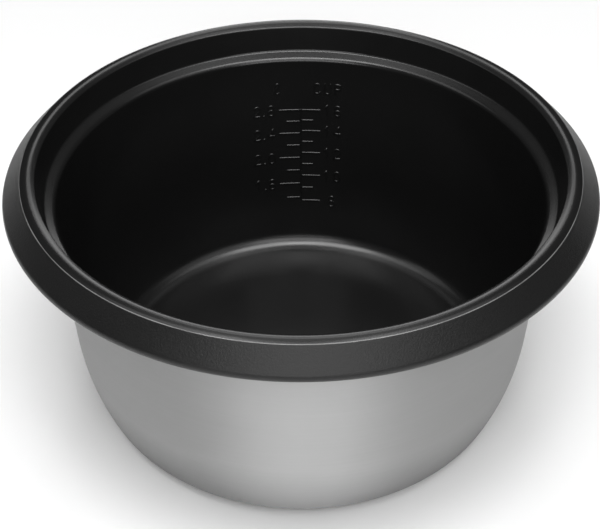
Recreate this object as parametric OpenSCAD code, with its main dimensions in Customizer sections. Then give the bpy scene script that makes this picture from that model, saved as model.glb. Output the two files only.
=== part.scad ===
// Removable inner cooking pot of a large rice cooker, in millimetres.
// The pot is one piece of aluminium sheet, drawn to a deep bowl with a ledge, a leaning neck and
// a rim that falls outwards to a curled hem. Two coatings lie on the sheet: a smooth one inside,
// up to the crease of the rim, and a matt one from the crease down over the hem.
// The origin is the middle of the flat base, +Z is up, and the level scale is inside at +Y.

/* [Overall size] */
// Height from the base to the top of the crest
pot_h = 135.8; // [128:0.2:144]
// Outside diameter over the curled hem
rim_d = 280; // [276:1:292]
// Diameter of the crease, where the crest turns down into the skirt
crease_d = 262.2; // [260:0.2:264]
// Inside diameter at the top of the neck
neck_d = 248; // [246:0.2:250]
// Inside diameter of the bowl, just under the ledge
bowl_d = 232.6; // [228:0.2:235]

/* [Sheet and coatings] */
// Thickness of the aluminium sheet
sheet_t = 2; // [1.5:0.1:2.2]
// Thickness of each coating
coat_t = 0.35; // [0.3:0.05:0.4]

/* [Bowl] */
// Lean of the wall, outwards on its way up, in degrees
wall_lean = 3.4; // [1:0.1:5]
// Height of the middle of the belly, where the wall begins to turn in
belly_h = 28.2; // [26:0.2:36]
// Lean of the belly just above the base, in degrees
belly_lean = 20.9; // [18:0.1:22]
// Outside radius of the belly
belly_r = 130; // [90:1:130]
// Outside radius between the belly and the flat base
base_edge_r = 13.5; // [8:0.5:13.5]
// Fall of the ledge, inwards, in degrees
ledge_fall = 25.4; // [15:0.2:30]
// Radius where the wall turns out into the ledge
ledge_edge_r = 3; // [2.6:0.1:4]
// Radius where the ledge turns up into the neck
ledge_root_r = 1.5; // [1:0.1:3]
// Height of the neck, from the ledge to the crest
neck_h = 13.1; // [11:0.1:16]
// Lean of the neck, outwards on its way up, in degrees
neck_lean = 10.4; // [4:0.1:12]

/* [Rim] */
// Slope at which the crest leaves the neck, in degrees
crest_rise = 30; // [28:1:36]
// Slope at which the crest meets the crease, in degrees below level
crest_fall = 20; // [12:1:22]
// Radius of the domed crest
crest_r = 5.2; // [4:0.1:5.4]
// Radius of the edge between the neck and the crest
crest_edge_r = 0.9; // [0.5:0.1:1.2]
// Slope of the skirt, in degrees below level
skirt_fall = 46.7; // [42:0.1:50]
// Outside radius of the curled hem
hem_r = 3; // [2.8:0.1:3.6]
// How far the sheet curls round the hem, in degrees
hem_curl = 200; // [90:5:220]
// How far the outer coating follows the curl, in degrees
hem_coat_curl = 165; // [60:5:180]

/* [Level scale] */
// Height of the top line above the base
top_line_h = 87.7; // [80:0.1:92]
// Height of one cup at the top line
cup_step = 6.5; // [6:0.1:7]
// Extra height of each further cup down, because the bowl is narrower there
cup_step_growth = 0.11; // [0:0.01:0.14]
// Cups at the top line
top_cups = 16; // [10:2:18]
// Cups at the lowest line
low_cups = 8; // [6:2:8]
// Litres at the top line
top_litres = 2.8; // [2.4:0.2:3]
// Number of litre lines, 0.2 litres apart
litre_lines = 8; // [4:1:8]
// Litres in one cup
cup_litres = 0.18; // [0.17:0.01:0.2]
// How far the marks stand out from the wall
relief = 0.5; // [0.3:0.1:0.8]
// Width of every stroke
stroke = 0.8; // [0.6:0.1:1]
// Height of a figure, over its strokes
figure_h = 6.8; // [5:0.1:7]
// Width of a figure, over its strokes
figure_w = 4; // [3.4:0.1:4.4]

/* [Hidden] */

$fn = 96;
eps = 0.01;

// Every face of the sheet and its coatings is the cooking face moved into the sheet by a depth.
sheet_top = coat_t;
sheet_back = coat_t + sheet_t;

// Directions of travel along the cooking face, from the middle of the floor to the hem.
belly_dir = 90 - belly_lean;
wall_dir = 90 - wall_lean;
ledge_dir = ledge_fall;
neck_dir = 90 - neck_lean;
rise_dir = crest_rise;
fall_dir = -crest_fall;
skirt_dir = -skirt_fall;

// Corners of the cooking face, before they are rounded.
neck_r = neck_d / 2;
bowl_r = bowl_d / 2;
crease_r = crease_d / 2;
crest_mid_r = (neck_r + crease_r) / 2;
crest_top = [
    crest_mid_r,
    pot_h - crest_r + crest_r * cos((rise_dir + fall_dir) / 2) / cos((rise_dir - fall_dir) / 2)
];
crest_edge = [neck_r, crest_top.y - (crest_mid_r - neck_r) * tan(crest_rise)];
crease = [crease_r, crest_top.y - (crease_r - crest_mid_r) * tan(crest_fall)];
ledge_root = crest_edge - neck_h * [tan(neck_lean), 1];
ledge_edge = [bowl_r, ledge_root.y - (ledge_root.x - bowl_r) * tan(ledge_fall)];
belly = [bowl_r - (ledge_edge.y - belly_h) * tan(wall_lean), belly_h];
base_edge = [belly.x - (belly_h - sheet_back) * tan(belly_lean), sheet_back];

// The hem's centre lies hem_r under the skirt and hem_r inside the rim.
skirt_run = (rim_d / 2 - hem_r - crease.x + hem_r * sin(skirt_fall)) / cos(skirt_fall);
hem_c = crease + skirt_run * unit(skirt_dir) + hem_r * right(skirt_dir);

// Steps along each rounded stretch.
BOWL_STEPS = 10;
BEND_STEPS = 5;
HEM_STEPS = 14;

// Places on the level scale, measured across from its upright line.
major_cup_tick = 10.9;
minor_cup_tick = 6.8;
major_litre_tick = 12;
minor_litre_tick = 7.8;
cup_label_x = 17.7;
litre_label_x = -20.5;
figure_pitch = 5.8;
point_pitch = 3.9;
heading_rise = 13.5;
cup_heading_x = 15;
litre_heading_x = -13.4;
litre_step = 0.2;

// Radius inside which nothing of the level scale is drawn.
scale_clear_r = 60;

// Unit vector along a direction, and the one to its right, which points into the sheet.
function unit(dir) = [cos(dir), sin(dir)];
function right(dir) = [sin(dir), -cos(dir)];

function reversed(list) = [for (i = [len(list) - 1:-1:0]) list[i]];

// Points of an arc about a centre, from one direction to another.
function arc(centre, r, from, to, steps) =
    [for (i = [0:steps]) centre + r * unit(from + (to - from) * i / steps)];

// The corner between two directions of travel at a depth, rounded to r on the cooking face.
// A corner too tight to stay round at that depth comes out as its point.
function bend(corner, from, to, r, depth, steps) =
    let (
        side = sign(to - from),
        half = abs(to - from) / 2,
        centre = corner - side * r * right(from) - r * tan(half) * unit(from),
        mitre = corner + depth / cos(half) * right((from + to) / 2)
    )
    r + side * depth > eps
        ? arc(centre, r + side * depth, from - side * 90, to - side * 90, steps)
        : [mitre];

// Wall of the bowl at a depth, from the edge of the flat base to the ledge.
function wall_face(depth) = concat(
    bend(base_edge, 0, belly_dir, base_edge_r - sheet_back, depth, BOWL_STEPS),
    bend(belly, belly_dir, wall_dir, belly_r - sheet_back, depth, BOWL_STEPS),
    bend(ledge_edge, wall_dir, ledge_dir, ledge_edge_r, depth, BEND_STEPS)
);

// The whole bowl at a depth, from the middle of the floor to just before the crease.
function bowl_face(depth) = concat(
    [[0, sheet_back - depth]],
    wall_face(depth),
    bend(ledge_root, ledge_dir, neck_dir, ledge_root_r, depth, BEND_STEPS),
    bend(crest_edge, neck_dir, rise_dir, crest_edge_r, depth, BEND_STEPS),
    bend(crest_top, rise_dir, fall_dir, crest_r, depth, BEND_STEPS)
);

// The flange at a depth: the crease, the skirt and the hem as far round as it curls.
function flange_face(depth, curl) = concat(
    bend(crease, fall_dir, skirt_dir, 0, depth, BEND_STEPS),
    arc(hem_c, hem_r - depth, skirt_dir + 90, skirt_dir + 90 - curl, HEM_STEPS)
);

// Height of the line that lies a number of cups below the top line.
function line_h(cups_down) = top_line_h - cup_step * cups_down - cup_step_growth * pow(cups_down, 2);

// A solid of revolution between the cooking face at two depths.
module skin(near_face, far_face) {
    rotate_extrude() polygon(concat(near_face, reversed(far_face)));
}

// Straight stroke between two points, square at its ends.
module bar(from, to) {
    run = to - from;
    translate(from)
        rotate(atan2(run.y, run.x))
            translate([-stroke / 2, -stroke / 2])
                square([norm(run) + stroke, stroke]);
}

// Curved stroke about a centre, anticlockwise between two directions up to 360 degrees apart.
module bow(centre, r, from, to) {
    reach = 2 * (r + stroke);
    translate(centre)
        intersection() {
            difference() {
                circle(r + stroke / 2);
                circle(r - stroke / 2);
            }
            if (to - from < 360)
                polygon(concat([[0, 0]], arc([0, 0], reach, from, to, 6)));
        }
}

// Figures and letters, each about its own middle. x and y are the middles of the outer strokes.
module figure(name) {
    x = (figure_w - stroke) / 2;
    y = (figure_h - stroke) / 2;
    high = [0, y - x];
    low = [0, x - y];
    if (name == "0") {
        bow(high, x, 0, 180);
        bow(low, x, 180, 360);
        bar([-x, low.y], [-x, high.y]);
        bar([x, low.y], [x, high.y]);
    }
    if (name == "1") {
        bar([0, -y], [0, y]);
        bar([0, y], [-x, y - x]);
    }
    if (name == "2") {
        bow(high, x, -40, 170);
        bar([-x, -y], high + x * unit(-40));
        bar([-x, -y], [x, -y]);
    }
    if (name == "4") {
        bar([x / 2, -y], [x / 2, y]);
        bar([x / 2, y], [-x, -y / 3]);
        bar([-x, -y / 3], [x, -y / 3]);
    }
    if (name == "6") {
        bow(low, x, 0, 360);
        bow(high, x, 40, 180);
        bar([-x, low.y], [-x, high.y]);
    }
    if (name == "8") {
        bow([0, y * 0.53], y * 0.47, 0, 360);
        bow([0, -y * 0.47], y * 0.53, 0, 360);
    }
    if (name == "C") {
        bow(high, x, 30, 180);
        bow(low, x, 180, 330);
        bar([-x, low.y], [-x, high.y]);
    }
    if (name == "U") {
        bow(low, x, 180, 360);
        bar([-x, low.y], [-x, y]);
        bar([x, low.y], [x, y]);
    }
    if (name == "P") {
        bow([x - y / 2, y / 2], y / 2, -90, 90);
        bar([-x, y], [x - y / 2, y]);
        bar([-x, 0], [x - y / 2, 0]);
        bar([-x, -y], [-x, y]);
    }
    if (name == "litre") {
        loop_r = x * 0.6;
        bow([loop_r / 2, y - loop_r], loop_r, 0, 180);
        bar([-loop_r / 2, y - loop_r], [-loop_r / 2, loop_r - y]);
        bow([loop_r / 2, loop_r - y], loop_r, 180, 320);
        bar([loop_r * 1.5, y - loop_r], [-x, -y / 2]);
    }
}

// A row of figures centred on a point, pitch apart.
module word(names, pitch, centre) {
    for (i = [0:len(names) - 1])
        translate(centre + [(i - (len(names) - 1) / 2) * pitch, 0])
            figure(names[i]);
}

// Litres written as units and tenths, with a point between them.
module litre_label(litres, centre) {
    tenths = round(litres * 10);
    word([str(floor(tenths / 10)), str(tenths % 10)], point_pitch * 2, centre);
    translate(centre - [0, (figure_h - stroke) / 2])
        square(stroke * 1.25, center = true);
}

// Right side of the scale: a line for each cup, a longer one with its number for every second cup.
module cup_marks() {
    for (cups = [low_cups:top_cups]) {
        h = line_h(top_cups - cups);
        numbered = cups % 2 == 0;
        bar([stroke, h], [numbered ? major_cup_tick : minor_cup_tick, h]);
        if (numbered) {
            tens = cups >= 10 ? [str(floor(cups / 10))] : [];
            word(concat(tens, [str(cups % 10)]), figure_pitch, [cup_label_x, h]);
        }
    }
    word(["C", "U", "P"], figure_pitch, [cup_heading_x, top_line_h + heading_rise]);
}

// Left side of the scale: a line for every 0.2 litres, numbered for every 0.4 litres.
module litre_marks() {
    for (i = [0:litre_lines - 1]) {
        h = line_h(i * litre_step / cup_litres);
        numbered = i % 2 == 0;
        bar([-(numbered ? major_litre_tick : minor_litre_tick), h], [-stroke, h]);
        if (numbered)
            litre_label(top_litres - i * litre_step, [litre_label_x, h]);
    }
    translate([litre_heading_x, top_line_h + heading_rise])
        figure("litre");
}

// Both sides of the scale and the upright line between them, as an outline on the XZ plane.
module scale_outline() {
    bar([0, line_h(top_cups - low_cups)], [0, top_line_h]);
    cup_marks();
    litre_marks();
}

// The scale standing out from the wall at +Y, rooted halfway through the lining.
module level_scale() {
    root = coat_t / 2;
    intersection() {
        translate([0, neck_r, 0])
            rotate([90, 0, 0])
                linear_extrude(neck_r - scale_clear_r)
                    scale_outline();
        skin(wall_face(-relief), wall_face(root));
    }
}

// Bare aluminium sheet, floor to hem.
module pot_shell() {
    color("silver")
        skin(
            concat(bowl_face(sheet_top), flange_face(sheet_top, hem_curl)),
            concat(bowl_face(sheet_back), flange_face(sheet_back, hem_curl))
        );
}

// Smooth black coating of the inside, up to the crease, with the level scale raised on it.
module nonstick_lining() {
    crease_line = [for (depth = [0, sheet_top]) flange_face(depth, 0)[0]];
    color([0.05, 0.05, 0.05])
        union() {
            skin(
                concat(bowl_face(0), [crease_line[0]]),
                concat(bowl_face(sheet_top), [crease_line[1]])
            );
            level_scale();
        }
}

// Matt dark coating of the skirt, from the crease down and round the outside of the hem.
module rim_coating() {
    color([0.2, 0.2, 0.2])
        skin(flange_face(0, hem_coat_curl), flange_face(sheet_top, hem_coat_curl));
}

pot_shell();
nonstick_lining();
rim_coating();
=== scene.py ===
"""Looks of the rice cooker's inner pot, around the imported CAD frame. Metres, row frame."""

import math

import bmesh
import bpy
import numpy as np
from mathutils import Matrix, Vector


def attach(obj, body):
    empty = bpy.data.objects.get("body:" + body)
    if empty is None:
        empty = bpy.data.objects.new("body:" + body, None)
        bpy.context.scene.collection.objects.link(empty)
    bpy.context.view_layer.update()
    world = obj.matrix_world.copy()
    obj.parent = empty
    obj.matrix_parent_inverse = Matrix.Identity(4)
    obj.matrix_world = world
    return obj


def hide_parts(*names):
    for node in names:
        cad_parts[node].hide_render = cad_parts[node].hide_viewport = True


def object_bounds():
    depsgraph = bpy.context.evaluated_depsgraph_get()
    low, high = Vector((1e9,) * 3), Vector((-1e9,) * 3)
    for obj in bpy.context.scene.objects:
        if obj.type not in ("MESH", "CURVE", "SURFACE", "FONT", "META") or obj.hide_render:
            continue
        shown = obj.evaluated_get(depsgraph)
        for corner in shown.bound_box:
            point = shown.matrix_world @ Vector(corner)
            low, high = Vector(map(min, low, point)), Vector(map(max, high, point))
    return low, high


MM = 0.001

# Profile of the pot, as in part.scad.
NECK_R = 124.0 * MM
BOWL_R = 116.3 * MM
CREASE_R = 131.1 * MM
SHEET_T = 2.0 * MM
COAT_T = 0.35 * MM
WALL_LEAN = 3.4
BELLY_H = 28.2 * MM
BELLY_LEAN = 20.9
BELLY_R = 130.0 * MM
BASE_EDGE_R = 13.5 * MM
LEDGE_FALL = 25.4
LEDGE_EDGE_R = 3.0 * MM
LEDGE_ROOT_R = 1.5 * MM
NECK_H = 13.1 * MM
NECK_LEAN = 10.4
CREST_RISE = 30.0
CREST_FALL = 20.0
CREST_R = 5.2 * MM
CREST_EDGE_R = 0.9 * MM
SKIRT_FALL = 46.7
HEM_R = 3.0 * MM
HEM_CURL = 200.0
HEM_COAT_CURL = 165.0

# Small radius along the crease, which part.scad draws sharp.
CREASE_EDGE_R = 0.6 * MM

# Level scale, as in part.scad.
TOP_LINE_H = 87.7 * MM
CUP_STEP = 6.5 * MM
CUP_STEP_GROWTH = 0.11 * MM
TOP_CUPS = 16
LOW_CUPS = 8
TOP_LITRES = 2.8
LITRE_LINES = 8
LITRE_STEP = 0.2
CUP_LITRES = 0.18
STROKE = 0.8 * MM
FIGURE_H = 6.8 * MM
FIGURE_W = 4.0 * MM
MAJOR_CUP_TICK = 10.9 * MM
MINOR_CUP_TICK = 6.8 * MM
MAJOR_LITRE_TICK = 12.0 * MM
MINOR_LITRE_TICK = 7.8 * MM
CUP_LABEL_X = 17.7 * MM
LITRE_LABEL_X = -20.5 * MM
FIGURE_PITCH = 5.8 * MM
POINT_PITCH = 3.9 * MM
HEADING_RISE = 13.5 * MM
CUP_HEADING_X = 15.0 * MM
LITRE_HEADING_X = -13.4 * MM

# Height of the rounded strokes, slightly less than that of part.scad's flat-topped ones.
RELIEF = 0.45 * MM

# Right half of a stroke's rounded section, in halves of its width and in its height.
HALF_SECTION = ((0.2, 1.0), (0.62, 0.85), (0.92, 0.25), (1, -0.5))

# Rounded end of a stroke: how far beyond its last point, in stroke widths, and how wide it still is.
STROKE_END = ((0.25, 0.85), (0.42, 0.5), (0.5, 0.12))

# Camera, its distances in radii of the rim.
CAMERA_DISTANCE = 4.448
CAMERA_ELEVATION = 34.52
CAMERA_AIM_ACROSS = -0.0046
CAMERA_AIM_DROP = 0.4665
CAMERA_ROLL = -0.27
CAMERA_LENS = 79.1
CAMERA_SENSOR = 36.0

# Studio: half the floor's side, strength of the surround, and how far away the lights are.
FLOOR_HALF = 6.0
SURROUND = 0.04
LIGHT_DISTANCE = 1.5
LIGHT_AIM_H = 0.1

# Width and grey of a painted highlight: a lighter band along the crease, standing in for the glint of its
# rounded edge.
CREASE_GLINT_W = 0.5 * MM
CREASE_GLINT_GREY = 0.17

# Brushing of the bare metal: how often its lines change around, and how fine they are across.
BRUSH_AROUND = 0.6
BRUSH_ACROSS = 400.0

# Height up to which the bare metal's grey is painted darker, as painted shade towards the base, and how
# uneven that edge is.
PAINTED_SHADE_H = 46.0 * MM
PAINTED_SHADE_BLUR = 8.0 * MM

# Fineness of the lathed meshes.
TURN_STEPS = 384
RUN_STEP = 2.5 * MM
ARC_STEP = 5.0
ARC_RUN = 1.5 * MM
BOW_STEP = 15.0
STROKE_RUN = 1.5 * MM

# Places closer than this are one place, and a radius smaller than this is a sharp corner.
SAME_PLACE = 0.05 * MM
SHARP_R = 0.02 * MM


# --- Profile -------------------------------------------------------------------------------------


def unit(direction):
    """Unit vector (across, up) along a direction in degrees."""
    a = math.radians(direction)
    return np.array((math.cos(a), math.sin(a)))


def right(direction):
    """Unit vector to the right of a direction, which points into the sheet."""
    a = math.radians(direction)
    return np.array((math.sin(a), -math.cos(a)))


def arc(centre, radius, start, end):
    """Points of an arc about a centre, evenly from one direction to another."""
    angle = abs(end - start)
    steps = max(2, math.ceil(angle / ARC_STEP), math.ceil(radius * math.radians(angle) / ARC_RUN))
    return [centre + radius * unit(start + (end - start) * i / steps) for i in range(steps + 1)]


def bend(corner, start, end, radius, depth):
    """The corner between two directions of travel, at a depth, rounded on the cooking face."""
    side = math.copysign(1, end - start)
    half = math.radians(abs(end - start) / 2)
    if radius + side * depth < SHARP_R:
        return [corner + depth / math.cos(half) * right((start + end) / 2)]
    centre = corner - side * radius * right(start) - radius * math.tan(half) * unit(start)
    return arc(centre, radius + side * depth, start - side * 90, end - side * 90)


class Profile:
    """Corners of the cooking face, from the pot's overall size, and its faces at any depth."""

    def __init__(self, rim_r, height):
        fall = (CREST_RISE - CREST_FALL) / 2
        rise = (CREST_RISE + CREST_FALL) / 2
        mid_r = (NECK_R + CREASE_R) / 2
        top_z = height - CREST_R + CREST_R * math.cos(math.radians(fall)) / math.cos(math.radians(rise))
        self.crest_top = np.array((mid_r, top_z))
        self.crest_edge = self.step(self.crest_top, NECK_R, CREST_RISE)
        self.crease = self.step(self.crest_top, CREASE_R, -CREST_FALL)
        self.ledge_root = self.crest_edge - NECK_H * np.array((math.tan(math.radians(NECK_LEAN)), 1))
        self.ledge_edge = self.step(self.ledge_root, BOWL_R, LEDGE_FALL)
        self.floor_z = SHEET_T + COAT_T
        belly_r = BOWL_R - (self.ledge_edge[1] - BELLY_H) * math.tan(math.radians(WALL_LEAN))
        self.belly = np.array((belly_r, BELLY_H))
        floor_r = belly_r - (BELLY_H - self.floor_z) * math.tan(math.radians(BELLY_LEAN))
        self.base_edge = np.array((floor_r, self.floor_z))
        slope = math.radians(SKIRT_FALL)
        run = (rim_r - HEM_R - CREASE_R + HEM_R * math.sin(slope)) / math.cos(slope)
        self.hem = self.crease + run * unit(-SKIRT_FALL) + HEM_R * right(-SKIRT_FALL)

    @staticmethod
    def step(start, radius, direction):
        """The point at a radius on the line through start along a direction."""
        return np.array((radius, start[1] + (radius - start[0]) * math.tan(math.radians(direction))))

    def wall(self, depth):
        """The wall of the bowl, from the edge of the flat floor to the ledge."""
        belly = 90 - BELLY_LEAN
        wall = 90 - WALL_LEAN
        return [
            *bend(self.base_edge, 0, belly, BASE_EDGE_R - self.floor_z, depth),
            *bend(self.belly, belly, wall, BELLY_R - self.floor_z, depth),
            *bend(self.ledge_edge, wall, LEDGE_FALL, LEDGE_EDGE_R, depth),
        ]

    def bowl(self, depth):
        """The bowl, from the middle of the floor to just before the crease."""
        neck = 90 - NECK_LEAN
        return [
            np.array((0.0, self.floor_z - depth)),
            *self.wall(depth),
            *bend(self.ledge_root, LEDGE_FALL, neck, LEDGE_ROOT_R, depth),
            *bend(self.crest_edge, neck, CREST_RISE, CREST_EDGE_R, depth),
            *bend(self.crest_top, CREST_RISE, -CREST_FALL, CREST_R, depth),
        ]

    def crease_line(self, depth):
        """The crease, very slightly rounded."""
        return bend(self.crease, -CREST_FALL, -SKIRT_FALL, CREASE_EDGE_R, depth)

    def flange(self, depth, curl):
        """The hem, from the end of the skirt as far round as it curls."""
        start = 90 - SKIRT_FALL
        return arc(self.hem, HEM_R - depth, start, start - curl)

    def wall_radius(self, z):
        """Radius of the cooking face at a height on the wall."""
        radii, heights = np.array(self.wall(0)).T
        return float(np.interp(z, heights, radii))


# --- Meshes --------------------------------------------------------------------------------------


def new_piece(name, vertices, faces, material, sharp=()):
    """A smooth-shaded mesh object, sharp along the given edges."""
    mesh = bpy.data.meshes.new(name)
    mesh.from_pydata([tuple(v) for v in vertices], [], faces)
    mesh.polygons.foreach_set("use_smooth", [True] * len(mesh.polygons))
    if sharp:
        edges = {tuple(sorted(e)) for e in sharp}
        for edge in mesh.edges:
            edge.use_edge_sharp = tuple(sorted(edge.vertices)) in edges
    mesh.materials.append(material)
    shape = bmesh.new()
    shape.from_mesh(mesh)
    bmesh.ops.recalc_face_normals(shape, faces=shape.faces)
    shape.to_mesh(mesh)
    shape.free()
    mesh.update()
    piece = bpy.data.objects.new(name, mesh)
    bpy.context.scene.collection.objects.link(piece)
    return piece


def refined(outline):
    """The outline with its long straight runs cut into steps, graded finer near their ends."""
    points = [outline[0]]
    for a, b in zip(outline, outline[1:]):
        count = max(1, math.ceil(np.linalg.norm(b - a) / RUN_STEP))
        for i in range(1, count + 1):
            share = (1 - math.cos(math.pi * i / count)) / 2 if count > 2 else i / count
            points.append(a + (b - a) * share)
    return points


def lathed(name, near, far, material):
    """A closed solid of revolution between a near outline and a far one, hard along their ends."""
    near = refined(near)
    far = refined(far)[::-1]
    outline = near + far
    hard = {0, len(near) - 1, len(near), len(outline) - 1}
    turn = np.arange(TURN_STEPS) * (2 * math.pi / TURN_STEPS)
    vertices = []
    rings = []
    for r, z in outline:
        first = len(vertices)
        if r < 1e-9:
            vertices.append((0.0, 0.0, z))
            rings.append([first] * TURN_STEPS)
        else:
            vertices.extend((r * math.cos(t), r * math.sin(t), z) for t in turn)
            rings.append(list(range(first, first + TURN_STEPS)))
    faces = []
    sharp = []
    for k, ring in enumerate(rings):
        after = rings[(k + 1) % len(rings)]
        if ring[0] == ring[1] and after[0] == after[1]:
            continue
        for i in range(TURN_STEPS):
            j = (i + 1) % TURN_STEPS
            corners = dict.fromkeys((ring[i], ring[j], after[j], after[i]))
            faces.append(tuple(corners))
            if k in hard and ring[0] != ring[1]:
                sharp.append((ring[i], ring[j]))
    return new_piece(name, vertices, faces, material, sharp)


# --- Level scale ---------------------------------------------------------------------------------


def line_h(cups_down):
    """Height of the line that lies a number of cups below the top line."""
    return TOP_LINE_H - CUP_STEP * cups_down - CUP_STEP_GROWTH * cups_down**2


def bow(centre, radius, start, end):
    """A curved stroke as a list of points."""
    steps = max(4, math.ceil(abs(end - start) / BOW_STEP))
    centre = np.array(centre)
    return [centre + radius * unit(start + (end - start) * i / steps) for i in range(steps + 1)]


def figure(name):
    """Strokes of one figure about its own middle, each a list of points."""
    x = (FIGURE_W - STROKE) / 2
    y = (FIGURE_H - STROKE) / 2
    high = (0, y - x)
    low = (0, x - y)
    loop = x * 0.6
    shapes = {
        "0": [bow(high, x, 0, 180) + bow(low, x, 180, 360) + [np.array((x, y - x))]],
        "1": [[(-x, y - x), (0, y), (0, -y)]],
        "2": [bow(high, x, 170, -40) + [(-x, -y), (x, -y)]],
        "4": [[(x / 2, -y), (x / 2, y), (-x, -y / 3), (x, -y / 3)]],
        "6": [bow(high, x, 40, 180) + bow(low, x, 180, 540)],
        "8": [bow((0, y * 0.53), y * 0.47, 0, 360), bow((0, -y * 0.47), y * 0.53, 0, 360)],
        "C": [bow(high, x, 30, 180) + bow(low, x, 180, 330)],
        "U": [[(-x, y)] + bow(low, x, 180, 360) + [(x, y)]],
        "P": [[(-x, -y), (-x, y)] + bow((x - y / 2, y / 2), y / 2, 90, -90) + [(-x, 0)]],
        "litre": [
            [(-x, -y / 2)]
            + bow((loop / 2, y - loop), loop, 0, 180)
            + bow((loop / 2, loop - y), loop, 180, 320)
        ],
        ".": [[(-STROKE / 4, -y), (STROKE / 4, -y)]],
    }
    return [[np.array(p, dtype=float) for p in stroke] for stroke in shapes[name]]


def word(names, pitch, centre):
    """Strokes of a row of figures centred on a point."""
    strokes = []
    for i, name in enumerate(names):
        shift = np.array(centre) + ((i - (len(names) - 1) / 2) * pitch, 0)
        strokes += [[p + shift for p in stroke] for stroke in figure(name)]
    return strokes


def tick(start, end, height):
    """A level line between two places across, at a height."""
    return [np.array((start, height)), np.array((end, height))]


def cup_strokes():
    """Right side of the scale: a line for each cup, longer and numbered for every second cup."""
    strokes = []
    for cups in range(LOW_CUPS, TOP_CUPS + 1):
        h = line_h(TOP_CUPS - cups)
        numbered = cups % 2 == 0
        strokes.append(tick(STROKE, MAJOR_CUP_TICK if numbered else MINOR_CUP_TICK, h))
        if numbered:
            strokes += word(str(cups), FIGURE_PITCH, (CUP_LABEL_X, h))
    return strokes + word("CUP", FIGURE_PITCH, (CUP_HEADING_X, TOP_LINE_H + HEADING_RISE))


def litre_strokes():
    """Left side of the scale: a line for every 0.2 litres, numbered for every 0.4 litres."""
    strokes = []
    for i in range(LITRE_LINES):
        h = line_h(i * LITRE_STEP / CUP_LITRES)
        numbered = i % 2 == 0
        strokes.append(tick(-(MAJOR_LITRE_TICK if numbered else MINOR_LITRE_TICK), -STROKE, h))
        if numbered:
            label = f"{TOP_LITRES - i * LITRE_STEP:.1f}"
            strokes += word(label, POINT_PITCH, (LITRE_LABEL_X, h))
    return strokes + word(["litre"], 0, (LITRE_HEADING_X, TOP_LINE_H + HEADING_RISE))


def spine_stroke():
    """The upright line between the two sides of the scale."""
    return [np.array((0, line_h(TOP_CUPS - LOW_CUPS))), np.array((0, TOP_LINE_H))]


def raised(name, strokes, profile, material):
    """Strokes as low rounded ridges that follow the wall at +Y."""
    section = [(-side, lift) for side, lift in reversed(HALF_SECTION)] + list(HALF_SECTION)
    vertices = []
    faces = []
    for stroke in strokes:
        path = ridge_path(stroke)
        first = len(vertices)
        for place, across, narrow in path:
            for side, lift in section:
                at = place + across * side * STROKE / 2 * narrow
                vertices.append(on_wall(profile, at, lift * RELIEF * (narrow if lift > 0 else 1)))
        span = len(section)
        for k in range(len(path) - 1):
            for i in range(span):
                j = (i + 1) % span
                a = first + k * span
                faces.append((a + i, a + span + i, a + span + j, a + j))
        faces.append(tuple(range(first, first + span)))
        faces.append(tuple(range(len(vertices) - 1, len(vertices) - 1 - span, -1)))
    return new_piece(name, vertices, faces, material)


def ridge_path(stroke):
    """(place, unit vector across, width share) along a stroke, with rounded ends and joined corners."""
    points = [stroke[0]]
    for a, b in zip(stroke, stroke[1:]):
        if np.linalg.norm(b - a) > SAME_PLACE:
            points.append(b)
    fine = [points[0]]
    for a, b in zip(points, points[1:]):
        count = max(1, math.ceil(np.linalg.norm(b - a) / STROKE_RUN))
        fine += [a + (b - a) * i / count for i in range(1, count + 1)]
    path = []
    for k, place in enumerate(fine):
        before = fine[k] - fine[k - 1] if k else fine[1] - fine[0]
        after = fine[k + 1] - fine[k] if k + 1 < len(fine) else before
        before = before / np.linalg.norm(before)
        after = after / np.linalg.norm(after)
        along = before + after
        along = along / np.linalg.norm(along)
        across = np.array((-along[1], along[0]))
        mitre = 1 / max(0.5, float(np.dot(along, after)))
        path.append((place, across * mitre, 1.0))
    for end, step in ((0, -1), (-1, 1)):
        place, across, _ = path[end]
        along = np.array((across[1], -across[0])) * step
        caps = [(place + along * STROKE * beyond, across, narrow) for beyond, narrow in STROKE_END]
        path = path + caps if end else caps[::-1] + path
    return path


def on_wall(profile, place, lift):
    """A place on the scale's flat drawing, laid on the wall at +Y and lifted towards the axis."""
    x, z = place
    r = profile.wall_radius(z) - lift
    y = math.sqrt(r**2 - x**2)
    return (x, y, z)


# --- Materials -----------------------------------------------------------------------------------


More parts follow.
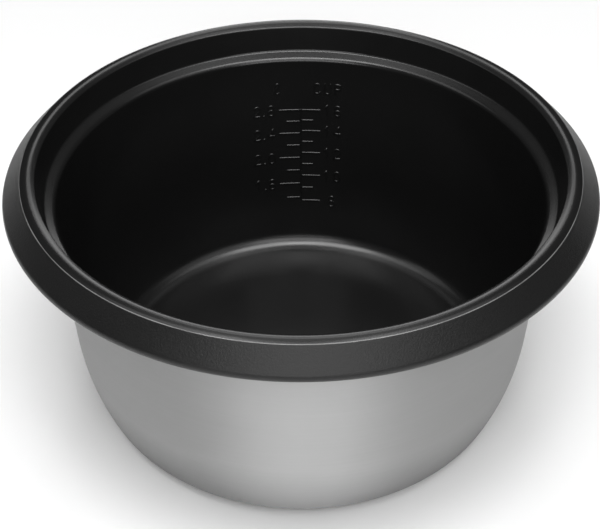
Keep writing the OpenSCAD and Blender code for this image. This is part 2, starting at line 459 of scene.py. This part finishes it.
class Nodes:
    """Short helper for building a node material around one Principled shader."""

    def __init__(self, name):
        self.material = bpy.data.materials.new(name)
        self.material.use_nodes = True
        self.tree = self.material.node_tree
        self.shader = self.tree.nodes["Principled BSDF"]
        self.place = self.tree.nodes.new("ShaderNodeTexCoord").outputs["Object"]

    def add(self, kind, **settings):
        """A new node with its properties set."""
        node = self.tree.nodes.new(kind)
        for key, value in settings.items():
            setattr(node, key, value)
        return node

    def link(self, source, target):
        """Joins an output to an input."""
        self.tree.links.new(source, target)

    def feed(self, value, target):
        """Gives an input either a link or a plain value."""
        if isinstance(value, bpy.types.NodeSocket):
            self.link(value, target)
        else:
            target.default_value = value

    def math(self, operation, *values):
        """One maths node."""
        node = self.add("ShaderNodeMath", operation=operation)
        for value, target in zip(values, node.inputs):
            self.feed(value, target)
        return node.outputs[0]

    def noise(self, scale, detail=4.0, roughness=0.55, place=None, stretch=(1, 1, 1)):
        """Noise over the object, its scale in cells per metre."""
        mapping = self.add("ShaderNodeMapping")
        mapping.inputs["Scale"].default_value = stretch
        self.link(place or self.place, mapping.inputs["Vector"])
        node = self.add("ShaderNodeTexNoise")
        node.inputs["Scale"].default_value = scale
        node.inputs["Detail"].default_value = detail
        node.inputs["Roughness"].default_value = roughness
        self.link(mapping.outputs[0], node.inputs["Vector"])
        return node.outputs[0]

    def spread(self, value, low, high, start=0.0, end=1.0):
        """Maps a value's start to end onto low to high."""
        node = self.add("ShaderNodeMapRange")
        self.feed(value, node.inputs["Value"])
        for key, number in (("From Min", start), ("From Max", end), ("To Min", low), ("To Max", high)):
            node.inputs[key].default_value = number
        return node.outputs[0]

    def mix(self, factor, first, second):
        """A colour between two, each of them a link or the level of a grey."""
        node = self.add("ShaderNodeMix", data_type="RGBA")
        self.feed(factor, node.inputs["Factor"])
        for value, key in ((first, "A"), (second, "B")):
            grey = value if isinstance(value, bpy.types.NodeSocket) else (value, value, value, 1)
            self.feed(grey, node.inputs[key])
        return node.outputs["Result"]

    def bump(self, height, strength, distance):
        """Bump from a height, in metres."""
        node = self.add("ShaderNodeBump")
        node.inputs["Strength"].default_value = strength
        node.inputs["Distance"].default_value = distance
        self.link(height, node.inputs["Height"])
        self.link(node.outputs[0], self.shader.inputs["Normal"])

    def around(self):
        """(turn about the axis in radians, distance from the axis, height) of a place."""
        parts = self.add("ShaderNodeSeparateXYZ")
        self.link(self.place, parts.inputs[0])
        x, y, z = parts.outputs
        turn = self.math("ARCTAN2", y, x)
        out = self.math("SQRT", self.math("ADD", self.math("MULTIPLY", x, x), self.math("MULTIPLY", y, y)))
        return turn, out, z


def lining_material():
    """Smooth black non-stick coating: semi-gloss, faintly cloudy, with a painted highlight along the
    crease.
    """
    n = Nodes("nonstick_coating")
    cloud = n.noise(28, detail=5)
    peel = n.noise(2600, detail=2)
    _, out, _ = n.around()
    near = n.math("ABSOLUTE", n.math("SUBTRACT", out, CREASE_R))
    edge = n.spread(near, 1.0, 0.0, CREASE_GLINT_W / 2, CREASE_GLINT_W)
    patch = n.spread(n.noise(60, detail=6), 0.5, 1.0, 0.35, 0.6)
    black = n.mix(cloud, 0.0055, 0.0085)
    # Painted highlight: a lighter grey band along the crease stands in for the glint of its rounded edge.
    crease_glint = n.math("MULTIPLY", edge, patch)
    n.link(n.mix(crease_glint, black, CREASE_GLINT_GREY), n.shader.inputs["Base Color"])
    n.link(n.spread(cloud, 0.21, 0.26), n.shader.inputs["Roughness"])
    n.bump(peel, 0.12, 0.02 * MM)
    return n.material


def rim_material():
    """Matt coating with a fine sandy grain."""
    n = Nodes("matt_coating")
    grain = n.noise(1100, detail=3, roughness=0.7)
    cloud = n.noise(40, detail=4)
    n.link(n.mix(grain, 0.001, 0.011), n.shader.inputs["Base Color"])
    n.link(n.spread(cloud, 0.34, 0.42), n.shader.inputs["Roughness"])
    n.shader.inputs["Specular IOR Level"].default_value = 0.38
    n.bump(grain, 0.9, 0.15 * MM)
    return n.material


def aluminium_material():
    """Satin aluminium, finely brushed around the axis, so that its gloss spreads up and down.

    Its grey is painted darker towards the base, as painted shade for the shadowed floor that it reflects
    there.
    """
    n = Nodes("bare_aluminium")
    turn, out, z = n.around()
    lines = n.add("ShaderNodeCombineXYZ")
    n.link(n.math("MULTIPLY", turn, BRUSH_AROUND), lines.inputs[0])
    n.link(n.math("MULTIPLY", z, BRUSH_ACROSS), lines.inputs[1])
    n.link(n.math("MULTIPLY", out, BRUSH_ACROSS), lines.inputs[2])
    streak = n.noise(3.0, detail=6, place=lines.outputs[0])
    cloud = n.noise(16, detail=5)
    n.shader.inputs["Metallic"].default_value = 1.0
    base_grey = n.mix(cloud, 0.44, 0.48)
    # Painted shade: a darker grey towards the base stands in for the contact shadow that the lower wall
    # reflects.
    shaded_grey = n.mix(cloud, 0.24, 0.28)
    base_shade = n.spread(n.math("ADD", z, n.math("MULTIPLY", cloud, PAINTED_SHADE_BLUR)), 1.0, 0.0, 0.0, PAINTED_SHADE_H)
    n.link(n.mix(base_shade, base_grey, shaded_grey), n.shader.inputs["Base Color"])
    n.link(n.spread(streak, 0.52, 0.64), n.shader.inputs["Roughness"])
    n.shader.inputs["Anisotropic"].default_value = 0.84
    n.shader.inputs["Anisotropic Rotation"].default_value = 0.25
    brushing = n.add("ShaderNodeTangent", direction_type="RADIAL", axis="Z")
    n.link(brushing.outputs[0], n.shader.inputs["Tangent"])
    n.bump(streak, 0.06, 0.02 * MM)
    return n.material


def floor_material():
    """Plain white studio paper."""
    n = Nodes("studio_paper")
    n.link(n.mix(n.noise(6), 0.91, 0.93), n.shader.inputs["Base Color"])
    n.shader.inputs["Roughness"].default_value = 0.9
    n.shader.inputs["Specular IOR Level"].default_value = 0.0
    return n.material


# --- Scene ---------------------------------------------------------------------------------------


def make_camera(rim_r, rim_z):
    """Camera in front of the pot, looking down into it."""
    distance = CAMERA_DISTANCE * rim_r
    elevation = math.radians(CAMERA_ELEVATION)
    place = Vector((0, -distance * math.cos(elevation), rim_z + distance * math.sin(elevation)))
    aim = Vector((CAMERA_AIM_ACROSS * rim_r, 0, rim_z - CAMERA_AIM_DROP * rim_r))
    data = bpy.data.cameras.new("camera")
    data.sensor_width = CAMERA_SENSOR
    data.lens = CAMERA_LENS
    camera = bpy.data.objects.new("camera", data)
    turn = (aim - place).to_track_quat("-Z", "Y").to_matrix().to_4x4()
    roll = Matrix.Rotation(math.radians(CAMERA_ROLL), 4, "Z")
    camera.matrix_world = Matrix.Translation(place) @ turn @ roll
    bpy.context.scene.collection.objects.link(camera)
    bpy.context.scene.camera = camera


def soft_box(name, elevation, turn, size, glow):
    """A rectangular soft light aimed at the pot, turned to its right from the front, in degrees."""
    up = math.radians(elevation)
    around = math.radians(turn)
    out = Vector((math.sin(around) * math.cos(up), -math.cos(around) * math.cos(up), math.sin(up)))
    data = bpy.data.lights.new(name, "AREA")
    data.shape = "RECTANGLE"
    data.size = size[0]
    data.size_y = size[1]
    data.energy = glow * math.pi * size[0] * size[1]
    light = bpy.data.objects.new(name, data)
    light.location = Vector((0, 0, LIGHT_AIM_H)) + out * LIGHT_DISTANCE
    light.rotation_mode = "QUATERNION"
    light.rotation_quaternion = (-out).to_track_quat("-Z", "Y")
    bpy.context.scene.collection.objects.link(light)


def make_studio():
    """White paper floor, a dim surround and soft lights."""
    floor = new_piece(
        "studio_floor",
        [(x * FLOOR_HALF, y * FLOOR_HALF, 0) for x, y in ((-1, -1), (1, -1), (1, 1), (-1, 1))],
        [(0, 1, 2, 3)],
        floor_material(),
    )
    world = bpy.data.worlds.new("studio")
    world.use_nodes = True
    world.node_tree.nodes["Background"].inputs["Color"].default_value = (1, 1, 1, 1)
    world.node_tree.nodes["Background"].inputs["Strength"].default_value = SURROUND
    bpy.context.scene.world = world
    bpy.context.scene.view_settings.view_transform = "Standard"
    # From above in front, for the highlights round the floor and on the neck.
    soft_box("key_left", 75, -40, (0.7, 0.6), 6.6)
    soft_box("key_right", 75, 40, (0.7, 0.6), 6.4)
    soft_box("top_left", 68, -95, (0.66, 0.66), 1.6)
    soft_box("top_right", 68, 95, (0.66, 0.66), 1.4)
    # In front and at the sides, for the bare metal, the skirt and the hem.
    soft_box("front_middle", 50, 2, (1.1, 0.5), 3.0)
    soft_box("right_middle", 45, 45, (0.7, 0.66), 0.8)
    soft_box("left_side", 45, -92, (0.7, 0.6), 0.9)
    soft_box("right_side", 45, 80, (0.7, 0.6), 0.6)
    soft_box("front_low", 22, 0, (1.5, 0.5), 3.6)
    # Behind, for the back of the skirt and the crest.
    soft_box("back_low", 18, 180, (0.5, 0.66), 2.0)
    soft_box("back_middle", 45, 180, (0.4, 0.5), 2.4)
    soft_box("back_top", 68, 180, (0.8, 0.66), 0.9)


def make_pot(profile):
    """Every piece of the pot, each standing for its CAD node."""
    root = COAT_T
    back = COAT_T + SHEET_T
    edge = len(profile.crease_line(0)) // 2
    coating = lining_material()
    sheet = lathed(
        "sheet",
        profile.bowl(root) + profile.crease_line(root) + profile.flange(root, HEM_CURL),
        profile.bowl(back) + profile.crease_line(back) + profile.flange(back, HEM_CURL),
        aluminium_material(),
    )
    lining = lathed(
        "lining",
        profile.bowl(0) + profile.crease_line(0)[: edge + 1],
        profile.bowl(root) + profile.crease_line(root)[: edge + 1],
        coating,
    )
    rim = lathed(
        "rim_coat",
        profile.crease_line(0)[edge:] + profile.flange(0, HEM_COAT_CURL),
        profile.crease_line(root)[edge:] + profile.flange(root, HEM_COAT_CURL),
        rim_material(),
    )
    cups = raised("cup_scale", cup_strokes(), profile, coating)
    litres = raised("litre_scale", litre_strokes(), profile, coating)
    spine = raised("scale_spine", [spine_stroke()], profile, coating)
    for piece, node, slot in (
        (sheet, "pot_shell", "bare_aluminium"),
        (lining, "nonstick_lining", "nonstick_coating"),
        (rim, "rim_coating", "matt_coating"),
        (cups, "nonstick_lining", "nonstick_coating"),
        (litres, "nonstick_lining", "nonstick_coating"),
        (spine, "nonstick_lining", "nonstick_coating"),
    ):
        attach(piece, "root")
        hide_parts(node)


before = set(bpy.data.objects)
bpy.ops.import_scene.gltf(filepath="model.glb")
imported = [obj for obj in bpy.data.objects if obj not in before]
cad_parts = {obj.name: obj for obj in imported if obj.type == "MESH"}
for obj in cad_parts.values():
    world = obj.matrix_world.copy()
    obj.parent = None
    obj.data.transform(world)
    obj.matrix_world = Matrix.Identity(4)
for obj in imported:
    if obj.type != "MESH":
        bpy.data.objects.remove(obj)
low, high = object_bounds()
rim_r = min(high.x, -low.x, high.y, -low.y)
profile = Profile(rim_r, high.z)
make_camera(rim_r, profile.crest_edge[1])
make_studio()
make_pot(profile)
